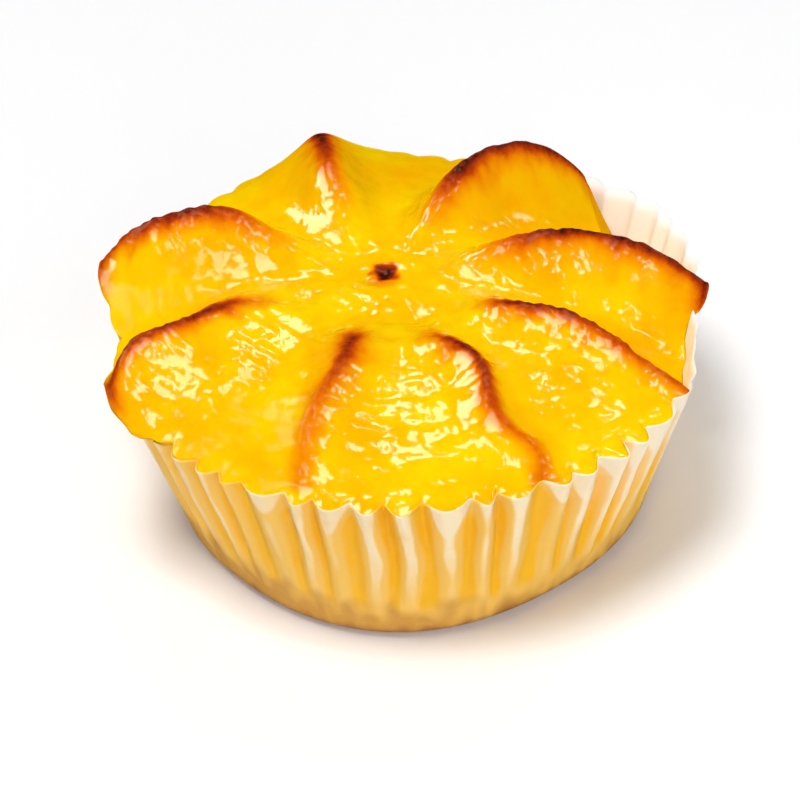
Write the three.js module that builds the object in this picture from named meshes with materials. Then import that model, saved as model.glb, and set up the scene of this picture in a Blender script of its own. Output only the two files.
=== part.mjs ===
// A sweet cheese tartlet: an egg-glazed curd filling with eight pinched ridges,
// baked in a pleated paper case. Millimetres, +Z up. The origin is the centre of
// the case's flat underside. Bearings are degrees about +Z, counted from +X.
import * as THREE from "three";

// Paper case
const BASE_RADIUS = 26.4;
const RIM_RADIUS = 34;
const RIM_HEIGHT = 22.8;
const SHEET = 0.35;
const CORNER_RADIUS = 2.4;
const PLEATS = 52;
const PLEAT_START = 4.8;
const PLEAT_GROWTH = 0.6;
const HOLLOW_ROUNDING = 0.2;
const BELLY = { bearing: -98, halfWidth: 48, swell: 1.9 };

// Depth of the folds at the rim, as [bearing, depth]
const FOLD_DEPTHS = [
  [0, 0.15], [22, 0.45], [75, 0.6], [150, 0.6], [185, 0.45], [215, 0.7], [255, 0.85], [290, 0.95],
  [318, 0.9], [338, 0.15],
];

// Unevenness of the folds, as waves of [size, waves in the turn, phase]: of their
// spacing, in radians of the fold wave, and of their depth, as a share of it
const SPACING_WAVES = [[0.55, 5, 1], [0.45, 13, 2.2], [0.45, 21, 0]];
const DEPTH_WAVES = [[0.14, 7, 0.6], [0.16, 17, 4]];

// How far the rim stands out of its circle, as [bearing, offset]
const RIM_OFFSETS = [
  [0, -2.1], [14, -0.4], [30, 0.2], [46, -1.3], [75, -1.9], [105, -1.3], [135, -1.0], [150, -0.6],
  [182, -2.0], [213, -0.6], [235, 0], [270, 0.3], [315, 0.2], [332, 0.2], [346, -1.5],
];

// Filling
const POLE = { x: -2, y: 2, height: 27.4 };
const PIT = { depth: 0.5, radius: 1.6 };
const GAP = 0.3;
const CREST_EDGE = 22;
const VALLEY_POWER = 2.2;
const PUFF_POWER = 1.3;
const MEAN_REACH = 33;
const START_ROUNDING = 2.5;
const TIP_DROP_POWER = 2.6;
const SWAY = { wavelength: 0.47, from: 0.3, fadeIn: 0.15, fadeOut: 0.12 };
const KINK = { place: 0.9, width: 0.06 };
const EDGE_THICKNESS = 0.3;
const FREE_THICKNESS = 0.9;
const CLEAR_OF_FOLDS = 0.8;
const LIP = { thickness: 1.5, seat: 0.7, bulge: 0.75, undercut: 0.5, crossing: 0.6, fullOverhang: 1.5 };
const FLUTES_FROM = 0.94;

// Overhang at which the filling starts to press the rim down, and by which it has
const PRESS = { from: -0.7, to: -0.2 };

// The ridges in order round the top. Each has its tip's bearing, its swirl towards
// the pole in degrees, its rise over the petals at its peak and at its tip, where
// between pole and edge it starts, peaks and ends, its sideways sway with that
// wave's phase, a sideways kink near its tip, the radius of its crest and the
// widths of its flanks. The petal that follows clockwise has the level of its edge
// and how far it is puffed up.
const RIDGES = [
  {
    tip: 105, swirl: 16, rise: 6.7, tipRise: 1.9, start: 0.14, peak: 0.6, end: 1, sway: 0.1, phase: 0,
    kink: 0, rounding: 2.4, clockwise: 8, anticlockwise: 7, edge: 21.6, puff: 0.4,
  },
  {
    tip: 47, swirl: 18, rise: 8, tipRise: 2.4, start: 0.14, peak: 0.64, end: 1, sway: 0.1, phase: 0,
    kink: 0, rounding: 0.9, clockwise: 6, anticlockwise: 6, edge: 16, puff: 0.6,
  },
  {
    tip: 3, swirl: 1, rise: 6.2, tipRise: 1.7, start: 0.16, peak: 0.58, end: 1, sway: 0.2, phase: 3.1,
    kink: 0, rounding: 0.6, clockwise: 5, anticlockwise: 3, edge: 17.6, puff: 1,
  },
  {
    tip: -28, swirl: -9, rise: 4, tipRise: 0.4, start: 0.26, peak: 0.6, end: 1, sway: 0.5, phase: 2.4,
    kink: 0, rounding: 0.5, clockwise: 4, anticlockwise: 2.2, edge: 21.9, puff: 1.2,
  },
  {
    tip: -66, swirl: -7, rise: 4.4, tipRise: 0.1, start: 0.26, peak: 0.62, end: 0.98, sway: 1.1, phase: 1.5,
    kink: 1.3, rounding: 0.7, clockwise: 4, anticlockwise: 2, edge: 21.9, puff: 1.5,
  },
  {
    tip: -114, swirl: 8, rise: 4.8, tipRise: 0, start: 0.24, peak: 0.66, end: 0.93, sway: 0.3, phase: 1.2,
    kink: 0, rounding: 0.9, clockwise: 3, anticlockwise: 2.6, edge: 22.4, puff: 1.3,
  },
  {
    tip: -159, swirl: -5, rise: 6.4, tipRise: 3, start: 0.28, peak: 0.88, end: 1, sway: 0.6, phase: 3.6,
    kink: 0, rounding: 1, clockwise: 2.6, anticlockwise: 5, edge: 22.4, puff: 0.8,
  },
  {
    tip: -197, swirl: -8, rise: 7.7, tipRise: 3.2, start: 0.18, peak: 0.7, end: 1, sway: 0.5, phase: 4.6,
    kink: 0, rounding: 0.9, clockwise: 4, anticlockwise: 6, edge: 22.1, puff: 0.5,
  },
];

// How far the filling's edge reaches over the rim, as [bearing, overhang].
// Below zero the filling stays inside the paper.
const OVERHANGS = [
  [3, 1.3], [13, -0.9], [32, -0.9], [60, -0.5], [75, 0.2], [105, 0.6], [135, 0.2], [150, 1.0], [163, 2.3],
  [173, 0.7], [182, 0.2], [190, 0.6], [196, 1.7], [203, 2.0], [209, 1.4], [215, 0.4], [221, -0.4],
  [232, -0.8], [285, -0.8], [299, -0.45], [318, -0.45], [330, -0.8], [354, -0.9],
];

// How far the filling has shrunk away from the paper, as [bearing, distance]
const INSETS = [
  [0, 0], [18, 0], [28, 2.0], [38, 2.8], [47, 1.8], [56, 0.6], [64, 0], [180, 0],
];

// Mesh fineness: points round a ring near the pole, half way out and at the edge,
// where the rings lie between pole and edge, on the corner and up the wall
const FEW = PLEATS;
const SOME = 2 * PLEATS;
const MANY = 4 * PLEATS;
const TOP_RINGS = [
  { points: FEW, places: [0.025, 0.055, 0.11] },
  { points: SOME, places: [0.18, 0.26, 0.34] },
  { points: MANY, places: [0.42, 0.5, 0.58, 0.66, 0.74, 0.82, 0.88, 0.93, 0.97, 1] },
];
const MID_SIDE = 0.5;
const CORNER_SWEEPS = [0, 0.5, 1];
const WALL_FRACTIONS = [0, 0.22, 0.48, 0.74, 1];

const radians = THREE.MathUtils.degToRad;
const degrees = THREE.MathUtils.radToDeg;
const mix = THREE.MathUtils.lerp;
const clamp01 = (value) => THREE.MathUtils.clamp(value, 0, 1);
const ease = (value) => THREE.MathUtils.smoothstep(value, 0, 1);
const wrap = (angle) => THREE.MathUtils.euclideanModulo(angle, 360);
const polar = (radius, angle, height) =>
  new THREE.Vector3(radius * Math.cos(angle), radius * Math.sin(angle), height);

// Half-cosine blend weight, for joining two values without a kink
const halfCosine = (t) => 0.5 - 0.5 * Math.cos(Math.PI * t);

// A length with its start rounded off to the given radius
const rounded = (length, rounding) => Math.hypot(length, rounding) - rounding;

// A value that varies round the turn, from [bearing, value] pairs
function roundTurn(pairs, bearing) {
  const last = pairs.length - 1;
  for (let i = 0; i <= last; i += 1) {
    const [from, before] = pairs[i];
    const [to, after] = pairs[i === last ? 0 : i + 1];
    const span = wrap(to - from);
    const past = wrap(bearing - from);
    if (past <= span) return mix(before, after, halfCosine(past / span));
  }
  return pairs[0][1];
}

// Sum of waves round the turn
function waveSum(waves, whole) {
  return waves.reduce((sum, [size, count, phase]) => sum + size * Math.sin(count * whole + phase), 0);
}

// Angle of a place on the pleated rim, in radians, for turn in 0 to 1. The folds
// aren't evenly spaced.
function angleAt(turn) {
  const whole = 2 * Math.PI * turn;
  return whole + waveSum(SPACING_WAVES, whole) / PLEATS;
}

// Fold wave of the paper, with broad folds outwards and pinched hollows inwards
function foldWave(turn) {
  const whole = 2 * Math.PI * turn;
  const beside = Math.sin((PLEATS * whole) / 2 - Math.PI / 4);
  const fold = rounded(beside, HOLLOW_ROUNDING) / rounded(1, HOLLOW_ROUNDING);
  return (2 * fold - 1) * (1 + waveSum(DEPTH_WAVES, whole));
}

// The furthest that the fold wave can reach
const FOLD_REACH = DEPTH_WAVES.reduce((sum, [size]) => sum + size, 1);

// Sloping wall of the case: its radius where it would meet the floor, and its run
// out for each millimetre up
function wallLine(bearing) {
  const away = Math.abs(wrap(bearing - BELLY.bearing + 180) - 180);
  const foot = BASE_RADIUS + BELLY.swell * (1 - halfCosine(clamp01(away / BELLY.halfWidth)));
  const run = (RIM_RADIUS + roundTurn(RIM_OFFSETS, bearing) - foot) / RIM_HEIGHT;
  return { foot, run };
}

// Radius of the wall half way between its outer and inner folds
function wallRadius(bearing, height) {
  const { foot, run } = wallLine(bearing);
  return foot + run * height;
}

// Depth of the folds, which start above the base and grow towards the rim
function foldDepth(bearing, height) {
  const grown = Math.max(0, (height - PLEAT_START) / (RIM_HEIGHT - PLEAT_START));
  return roundTurn(FOLD_DEPTHS, bearing) * grown ** PLEAT_GROWTH;
}

// Outside of the pleated paper
function paperRadius(turn, height) {
  const bearing = degrees(angleAt(turn));
  return wallRadius(bearing, height) + foldDepth(bearing, height) * foldWave(turn);
}

// Rounded corner between the flat base and the wall, moved in by inset. The sweep
// goes from 0 at the base to 1 at the wall.
function cornerPoint(turn, sweep, inset) {
  const angle = angleAt(turn);
  const { foot, run } = wallLine(degrees(angle));
  const lean = Math.atan(run);
  const middle = foot + run * CORNER_RADIUS - CORNER_RADIUS / Math.cos(lean);
  const tilt = mix(-Math.PI / 2, -lean, sweep);
  const radius = CORNER_RADIUS - inset;
  return polar(middle + radius * Math.cos(tilt), angle, CORNER_RADIUS + radius * Math.sin(tilt));
}

// The two ridges beside a bearing, how far across the petal between them it lies,
// and the petal's span in radians
function petalAt(bearing) {
  for (let i = 0; i < RIDGES.length; i += 1) {
    const before = RIDGES[i];
    const after = RIDGES[(i + 1) % RIDGES.length];
    const span = wrap(before.tip - after.tip);
    const past = wrap(before.tip - bearing);
    if (past < span) return { before, after, across: past / span, span: radians(span) };
  }
  return { before: RIDGES[0], after: RIDGES[1], across: 0, span: 0 };
}

// Height of a crest over its petals, for out from 0 at the pole to 1 at the edge.
// It climbs half as an S and half as a quick swell, then drops to its end.
function crestRise(ridge, out) {
  if (out < ridge.peak) {
    const climb = clamp01((out - ridge.start) / (ridge.peak - ridge.start));
    return ridge.rise * mix(ease(climb), 1 - (1 - climb) ** 2, 0.5);
  }
  const fall = clamp01((out - ridge.peak) / (ridge.end - ridge.peak));
  return mix(ridge.rise, ridge.tipRise, fall ** TIP_DROP_POWER);
}

// Radius of a crest across, blunt where it starts and sharper towards its peak
function crestRounding(ridge, out) {
  const pinched = ease((out - ridge.start) / (ridge.peak - ridge.start));
  return ridge.rounding + START_ROUNDING * (1 - pinched);
}

// Level of the filling's top: a low dome with pinched crests, whose flanks fall by
// one less an exponential of the distance beside them, and puffed petals between
function topLevel(bearing, out) {
  const { before, after, across, span } = petalAt(bearing);
  const share = halfCosine(across);
  const dip = Math.sin(Math.PI * across);
  const valley = mix(POLE.height, mix(CREST_EDGE, before.edge, dip), out ** VALLEY_POWER);
  const puff = before.puff * dip * Math.sin(Math.PI * out ** PUFF_POWER);

  const lift = mix(crestRise(before, out), crestRise(after, out), share);
  const rounding = mix(crestRounding(before, out), crestRounding(after, out), share);
  const width = mix(before.clockwise, after.anticlockwise, share);
  const middle = (span * out * MEAN_REACH) / Math.PI;
  const beside = rounded(middle * dip, rounding);
  const furthest = rounded(middle, rounding);
  const fall = Math.expm1(-beside / width) / Math.expm1(-furthest / width);
  return valley + puff + lift * (1 - fall);
}

const edgeLevel = (bearing) => topLevel(bearing, 1);

// Share of the filling's edge that lies out over the rim, 0 inside the paper
const lipShare = (bearing) => ease(roundTurn(OVERHANGS, bearing) / LIP.crossing);

// 1 where the filling has shrunk clear of the paper's folds, 0 where it lies in them
const shrunkShare = (bearing) => ease(roundTurn(INSETS, bearing) / CLEAR_OF_FOLDS);

// Thickness of the filling's edge, more where it is free of the paper or a lip,
// which sits on the rim
function edgeDepth(bearing) {
  const overRim = ease(roundTurn(OVERHANGS, bearing) / LIP.fullOverhang);
  const seated = Math.max(edgeLevel(bearing) - RIM_HEIGHT + LIP.seat, LIP.thickness);
  return mix(mix(EDGE_THICKNESS, FREE_THICKNESS, shrunkShare(bearing)), seated, overRim);
}

// Level of the underside of the filling's edge
const undersideLevel = (bearing) => edgeLevel(bearing) - edgeDepth(bearing);

// Rim of the paper, pressed down where the filling has run over it
function rimLevel(bearing) {
  const pressed = ease((roundTurn(OVERHANGS, bearing) - PRESS.from) / (PRESS.to - PRESS.from));
  return mix(RIM_HEIGHT, Math.min(RIM_HEIGHT, undersideLevel(bearing) - SHEET - GAP), pressed);
}

// Edge of the filling: along the middle of the paper's folds, in from them, or out
// over the rim
function edgeRadius(bearing) {
  const inFolds = wallRadius(bearing, edgeLevel(bearing)) - SHEET - GAP - roundTurn(INSETS, bearing);
  const overRim = wallRadius(bearing, RIM_HEIGHT) + roundTurn(OVERHANGS, bearing);
  return mix(inFolds, overRim, lipShare(bearing));
}

// How far the edge follows the paper's folds in and out
function fluteDepth(turn) {
  const bearing = degrees(angleAt(turn));
  const held = (1 - lipShare(bearing)) * (1 - shrunkShare(bearing));
  return foldDepth(bearing, edgeLevel(bearing)) * foldWave(turn) * held;
}

// Turn of a crest about the pole: its swirl, a wave from side to side and a kink
function crestTurn(ridge, out, reach) {
  const swirl = radians(ridge.swirl) * (1 - out);
  if (out <= SWAY.from) return swirl;
  const fade = clamp01((out - SWAY.from) / SWAY.fadeIn) * clamp01((1 - out) / SWAY.fadeOut);
  const wave = Math.cos((2 * Math.PI * out) / SWAY.wavelength - ridge.phase);
  const kink = ridge.kink * Math.exp(-(((out - KINK.place) / KINK.width) ** 2));
  return swirl + (ridge.sway * wave * fade + kink) / (reach * out);
}

// Top of the filling: the line from pole to edge, turned with the crests beside it
function topPoint(turn, out) {
  const angle = angleAt(turn);
  const bearing = degrees(angle);
  const { before, after, across } = petalAt(bearing);
  const flute = fluteDepth(turn) * ease((out - FLUTES_FROM) / (1 - FLUTES_FROM));
  const radius = edgeRadius(bearing) + flute;
  const x = radius * Math.cos(angle) - POLE.x;
  const y = radius * Math.sin(angle) - POLE.y;
  const reach = Math.hypot(x, y);
  const twist = mix(crestTurn(before, out, reach), crestTurn(after, out, reach), halfCosine(across));
  const heading = Math.atan2(y, x) + twist;
  const pit = PIT.depth * (1 - ease((out * reach) / PIT.radius));
  const height = topLevel(bearing, out) - pit;
  return polar(out * reach, heading, height).add(new THREE.Vector3(POLE.x, POLE.y, 0));
}

// Rolled edge of the filling, half way down its thickness, where lips bulge most
function rollPoint(turn) {
  const angle = angleAt(turn);
  const bearing = degrees(angle);
  const half = edgeDepth(bearing) / 2;
  const bulge = lipShare(bearing) * (Math.min(half, LIP.bulge) - LIP.undercut / 2);
  return polar(edgeRadius(bearing) + fluteDepth(turn) + bulge, angle, edgeLevel(bearing) - half);
}

// Underside of the filling's edge
function undersidePoint(turn) {
  const angle = angleAt(turn);
  const bearing = degrees(angle);
  const radius = edgeRadius(bearing) + fluteDepth(turn) - LIP.undercut * lipShare(bearing);
  return polar(radius, angle, undersideLevel(bearing));
}

// Side of the filling, clear of the deepest folds of the paper
function sidePoint(turn, height) {
  const angle = angleAt(turn);
  const bearing = degrees(angle);
  const radius = wallRadius(bearing, height) - FOLD_REACH * foldDepth(bearing, height) - SHEET - GAP;
  return polar(radius, angle, height);
}

// A closed ring of points, pointAt giving each from its turn
function ring(count, pointAt) {
  return Array.from({ length: count }, (unused, i) => pointAt(i / count));
}

// Closed surface from one pole over rings to another, with its outside on the left
// of the way along the profile. Rings may have different numbers of points.
function closedSurface(firstPole, rings, lastPole) {
  const points = [firstPole, ...rings.flat(), lastPole];
  const triangles = [];
  const starts = [];
  let start = 1;
  for (const each of rings) {
    starts.push(start);
    start += each.length;
  }
  const place = (level, i) => starts[level] + (i % rings[level].length);

  const last = rings.length - 1;
  for (let i = 0; i < rings[0].length; i += 1) {
    triangles.push(0, place(0, i), place(0, i + 1));
  }
  for (let level = 0; level < last; level += 1) {
    const innerCount = rings[level].length;
    const outerCount = rings[level + 1].length;
    let inner = 0;
    let outer = 0;
    while (inner < innerCount || outer < outerCount) {
      const here = [place(level, inner), place(level + 1, outer)];
      if ((inner + 1) * outerCount <= (outer + 1) * innerCount) {
        inner += 1;
        triangles.push(...here, place(level, inner));
      } else {
        outer += 1;
        triangles.push(...here, place(level + 1, outer));
      }
    }
  }
  for (let i = 0; i < rings[last].length; i += 1) {
    triangles.push(points.length - 1, place(last, i + 1), place(last, i));
  }

  const geometry = new THREE.BufferGeometry().setFromPoints(points);
  geometry.setIndex(triangles);
  geometry.computeVertexNormals();
  return geometry;
}

// Filling: out over the ridged top, round its edge, down the side and in along the bottom
function fillingGeometry() {
  const top = TOP_RINGS.flatMap(({ points, places }) =>
    places.map((out) => ring(points, (turn) => topPoint(turn, out))));

  const inset = SHEET + GAP;
  const shoulderLevel = (turn) => undersideLevel(degrees(angleAt(turn))) - GAP;
  const side = [
    ring(MANY, rollPoint),
    ring(MANY, undersidePoint),
    ring(MANY, (turn) => sidePoint(turn, shoulderLevel(turn))),
    ring(SOME, (turn) => sidePoint(turn, MID_SIDE * shoulderLevel(turn))),
    ...CORNER_SWEEPS.map((sweep) => ring(SOME, (turn) => cornerPoint(turn, 1 - sweep, inset))),
  ];
  const pole = new THREE.Vector3(POLE.x, POLE.y, POLE.height - PIT.depth);
  return closedSurface(pole, [...top, ...side], new THREE.Vector3(0, 0, inset));
}

// Case: out along the inside of the base, up the pleats inside, over the rim, and
// down and in along the outside
function caseGeometry() {
  const skin = (inset) => {
    const corner = CORNER_SWEEPS.map((sweep) => ring(SOME, (turn) => cornerPoint(turn, sweep, inset)));
    const wall = WALL_FRACTIONS.map((fraction) => ring(MANY, (turn) => {
      const angle = angleAt(turn);
      const height = mix(PLEAT_START, rimLevel(degrees(angle)), fraction);
      return polar(paperRadius(turn, height) - inset, angle, height);
    }));
    return [...corner, ...wall];
  };
  const rings = [...skin(SHEET), ...skin(0).reverse()];
  return closedSurface(new THREE.Vector3(0, 0, SHEET), rings, new THREE.Vector3(0, 0, 0));
}

// A named solid with a finish of its own
function piece(name, geometry, color, roughness) {
  const material = new THREE.MeshStandardMaterial({ color, roughness, metalness: 0 });
  const mesh = new THREE.Mesh(geometry, material);
  mesh.name = name;
  return mesh;
}

const tartlet = new THREE.Group();
tartlet.add(piece("cheese_filling", fillingGeometry(), 0xf9b700, 0.3));
tartlet.add(piece("paper_case", caseGeometry(), 0xf5d9a0, 0.7));

export default tartlet;
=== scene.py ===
"""A sweet cheese tartlet in its pleated paper case.

The filling is baked curd under an egg glaze, pinched into eight ridges that have browned in the oven.
The case is baking paper, stained by the filling wherever it touches. Shapes are worked out in
millimetres in the frame's own axes, and scaled to metres when a mesh is made. Bearings are degrees
about +Z, counted from +X.
"""

import logging
import math
from dataclasses import dataclass
from enum import Enum
from typing import Any

import bpy
import numpy as np
from mathutils import Matrix, Vector


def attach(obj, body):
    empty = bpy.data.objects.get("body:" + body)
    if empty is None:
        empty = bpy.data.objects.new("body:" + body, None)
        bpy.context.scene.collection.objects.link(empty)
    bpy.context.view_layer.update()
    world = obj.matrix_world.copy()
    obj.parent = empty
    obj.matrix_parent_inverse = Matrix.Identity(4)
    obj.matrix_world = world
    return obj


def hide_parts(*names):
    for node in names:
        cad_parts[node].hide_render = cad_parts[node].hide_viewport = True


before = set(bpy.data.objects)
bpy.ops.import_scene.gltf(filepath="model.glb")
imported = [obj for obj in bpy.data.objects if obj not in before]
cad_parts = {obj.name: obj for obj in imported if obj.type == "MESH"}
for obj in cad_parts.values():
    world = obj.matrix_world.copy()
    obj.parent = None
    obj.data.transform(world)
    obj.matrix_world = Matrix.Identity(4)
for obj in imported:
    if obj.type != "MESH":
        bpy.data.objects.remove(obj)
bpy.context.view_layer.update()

LOG = logging.getLogger("tartlet")
Array = np.ndarray
Tree = bpy.types.NodeTree
Socket = bpy.types.NodeSocket
Pairs = tuple[tuple[float, float], ...]

MM = 0.001
FULL_TURN = 360.0

# Corners on each side of the square that the noise lattice repeats after
NOISE_CELLS = 256

# Middle of a noise cell, because the noise is zero at every corner of one
HALF_CELL = 0.5

# Samples that a brushed mark is drawn out of
STROKE_SAMPLES = 5


class Body(Enum):
    """Bodies of the frame that a piece can ride on."""

    WHOLE = "root"


class Node(Enum):
    """Solids of the frame that the pieces stand for."""

    FILLING = "cheese_filling"
    CASE = "paper_case"


class Slot(Enum):
    """Material slots of the record."""

    FILLING = "filling"
    CASE = "case"


class Reach(Enum):
    """What a light shows in: matte surfaces alone, or highlights alone."""

    MATTE = "matte"
    GLOSS = "gloss"


class Seed(Enum):
    """Seeds of the noise fields, one for each unevenness of the food and paper."""

    SWELL = 11
    LUMPS = 12
    DIMPLES = 13
    STROKES = 14
    CRUST = 15
    BROWNING = 16
    SPECKLE = 17
    PIT = 18
    CREASE_DRIFT = 21
    CREASE_START = 22
    CRUMPLE = 23
    RIM = 24
    STAIN = 25
    ARCH = 26
    FOLD_SOFTNESS = 27


def ease(value: Array) -> Array:
    """Smooth step from 0 at 0 to 1 at 1."""
    held = np.clip(value, 0.0, 1.0)
    return held * held * (3.0 - 2.0 * held)


def half_cosine(value: Array) -> Array:
    """Half-cosine blend weight, for joining two values without a kink."""
    return 0.5 - 0.5 * np.cos(np.pi * value)


def mix(low: Any, high: Any, share: Any) -> Any:
    """Straight blend from low at 0 to high at 1."""
    return low + (high - low) * share


def bell(distance: Array, width: Any) -> Array:
    """Bell curve, 1 at no distance and falling away over a width."""
    return np.exp(-(distance / width) ** 2)


def gradient_noise(u: Array, v: Array, seed: Seed, period: int = NOISE_CELLS) -> Array:
    """Smooth noise over a plane, about -1 to 1.

    Every corner of a square lattice has a slope in a random direction. A place takes the heights of the
    slopes at its four corners there, eased into each other.

    Args:
        u: first coordinate, in lattice cells.
        v: second coordinate, in lattice cells.
        seed: which noise field to draw.
        period: number of cells after which the noise repeats along u.

    Returns:
        The noise at each place.
    """
    u, v = np.broadcast_arrays(u, v)
    headings = np.random.default_rng(seed.value).uniform(0.0, 2.0 * np.pi, (NOISE_CELLS, NOISE_CELLS))
    column = np.floor(u).astype(int)
    row = np.floor(v).astype(int)
    du = u - column
    dv = v - row

    def slope(right: int, up: int) -> Array:
        """Height over the place of the slope at one corner."""
        heading = headings[(column + right) % period, (row + up) % NOISE_CELLS]
        return np.cos(heading) * (du - right) + np.sin(heading) * (dv - up)

    lower = mix(slope(0, 0), slope(1, 0), ease(du))
    upper = mix(slope(0, 1), slope(1, 1), ease(du))
    return math.sqrt(2.0) * mix(lower, upper, ease(dv))


@dataclass(frozen=True)
class Grain:
    """One scale of unevenness: its noise field, cell and height, and the length of its strokes."""

    seed: Seed
    cell: float
    height: float
    stroke: float = 0.0

    def relief(self, x: Array, y: Array) -> Array:
        """Height of the unevenness, with marks drawn out round the origin where they have a length.

        Args:
            x: first coordinate from the middle that the marks run round.
            y: second coordinate from there.

        Returns:
            The height at each place.
        """
        if not self.stroke:
            return self.height * gradient_noise(x / self.cell, y / self.cell, self.seed)
        away = np.hypot(x, y)
        heading = np.arctan2(y, x)
        along = self.stroke * np.linspace(-0.5, 0.5, STROKE_SAMPLES)
        shifts = along / np.maximum(away, self.stroke)[..., None]
        drawn = away[..., None] / self.cell
        turned = heading[..., None] + shifts
        samples = gradient_noise(drawn * np.cos(turned), drawn * np.sin(turned), self.seed)
        return self.height * samples.sum(axis=-1) / math.sqrt(STROKE_SAMPLES)


def round_turn(pairs: Pairs, bearing: Array) -> Array:
    """A value that varies round the turn, joined by half cosines between its set bearings.

    Args:
        pairs: (bearing, value) in rising order of bearing.
        bearing: places to read, in degrees.

    Returns:
        The value at each place.
    """
    marks, values = np.array(pairs).T
    place = np.mod(bearing, FULL_TURN)
    before = np.searchsorted(marks, place, side="right") - 1
    after = (before + 1) % len(marks)
    span = np.mod(marks[after] - marks[before], FULL_TURN)
    past = np.mod(place - marks[before], FULL_TURN)
    return mix(values[before], values[after], half_cosine(past / span))


def polar(radius: Array, angle: Array, height: Array) -> Array:
    """Points from radius, angle in radians and height, with the coordinates last."""
    radius, angle, height = np.broadcast_arrays(radius, angle, height)
    return np.stack([radius * np.cos(angle), radius * np.sin(angle), height], axis=-1)


def grid_normals(points: Array) -> Array:
    """Unit normals of a grid of rings, from the cross product of its two directions.

    Args:
        points: rows of rings, each closed round the turn.

    Returns:
        One outward normal for each point, for rings that go anticlockwise and move outwards.
    """
    along = np.roll(points, -1, axis=1) - np.roll(points, 1, axis=1)
    outward = np.gradient(points, axis=0)
    normal = np.cross(outward, along)
    return normal / np.linalg.norm(normal, axis=-1, keepdims=True)


def link_object(name: str, data: bpy.types.ID) -> bpy.types.Object:
    """Put a mesh, light or camera in the scene.

    Args:
        name: name of the object.
        data: what the object shows.

    Returns:
        The new object, at the origin.
    """
    made = bpy.data.objects.new(name, data)
    bpy.context.scene.collection.objects.link(made)
    return made


def closed_mesh(name: str, first: Array, rings: Array, last: Array) -> bpy.types.Object:
    """A closed surface from one pole over a grid of rings to another pole.

    Args:
        name: name of the object and its mesh.
        first: pole inside the first ring, in millimetres.
        rings: points in millimetres, rows of rings that keep the outside on their left.
        last: pole inside the last ring, in millimetres.

    Returns:
        The new object, at the origin, with smooth shading.
    """
    rows, around, _ = rings.shape
    points = np.concatenate([first[None], rings.reshape(-1, 3), last[None]]) * MM
    place = 1 + np.arange(rows * around).reshape(rows, around)
    beside = np.roll(place, -1, axis=1)
    quads = np.stack([place[:-1], place[1:], beside[1:], beside[:-1]], axis=-1).reshape(-1, 4)
    first_fan = np.stack([np.zeros(around, int), place[0], beside[0]], axis=-1)
    last_fan = np.stack([np.full(around, len(points) - 1), beside[-1], place[-1]], axis=-1)

    mesh = bpy.data.meshes.new(name)
    mesh.from_pydata(points.tolist(), [], first_fan.tolist() + quads.tolist() + last_fan.tolist())
    mesh.shade_smooth()
    return link_object(name, mesh)


def paint(piece: bpy.types.Object, name: str, first: float, rings: Array, last: float) -> None:
    """Store one number for each point of a closed mesh, for its material to read.

    Args:
        piece: object made by closed_mesh.
        name: name of the attribute.
        first: value at the first pole.
        rings: value at each point of the rings.
        last: value at the last pole.
    """
    values = np.concatenate([[first], rings.ravel(), [last]]).astype(np.float32)
    piece.data.attributes.new(name, "FLOAT", "POINT").data.foreach_set("value", values)


def linear(code: str) -> tuple[float, float, float, float]:
    """Linear colour from an sRGB hex code.

    Args:
        code: the colour, such as #FFC800.

    Returns:
        Red, green, blue and a full alpha.
    """
    shares = np.array([int(code[i:i + 2], 16) for i in (1, 3, 5)]) / 255.0
    values = np.where(shares <= 0.04045, shares / 12.92, ((shares + 0.055) / 1.055) ** 2.4)
    return (*values.tolist(), 1.0)


def per_mm(size: float) -> float:
    """Texture scale, in cells to the metre, of a pattern with cells of a size in millimetres."""
    return 1.0 / (size * MM)


def add_node(tree: Tree, kind: str, inputs: dict[Any, Any], **settings: Any) -> bpy.types.Node:
    """Add a node with its settings, and fill its sockets with values or links.

    Args:
        tree: node tree of the material or world.
        kind: node type.
        inputs: socket name or number, to a value or to the output socket that feeds it.
        **settings: properties of the node.

    Returns:
        The new node.
    """
    made = tree.nodes.new(kind)
    for name, value in settings.items():
        setattr(made, name, value)
    for socket, value in inputs.items():
        if isinstance(value, Socket):
            tree.links.new(value, made.inputs[socket])
        else:
            made.inputs[socket].default_value = value
    return made


def new_material(name: str) -> tuple[bpy.types.Material, Tree, Socket]:
    """Start a material with an empty node tree.

    Args:
        name: name of the material.

    Returns:
        The material, its node tree and the place on the piece, in metres.
    """
    made = bpy.data.materials.new(name)
    made.use_nodes = True
    made.node_tree.nodes.clear()
    place = add_node(made.node_tree, "ShaderNodeTexCoord", {}).outputs["Object"]
    return made, made.node_tree, place


# Sockets of the colour mix node, which repeats its socket names for each kind of data
MIX_FACTOR = 0
MIX_A = 6
MIX_B = 7
MIX_RESULT = 2


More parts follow.
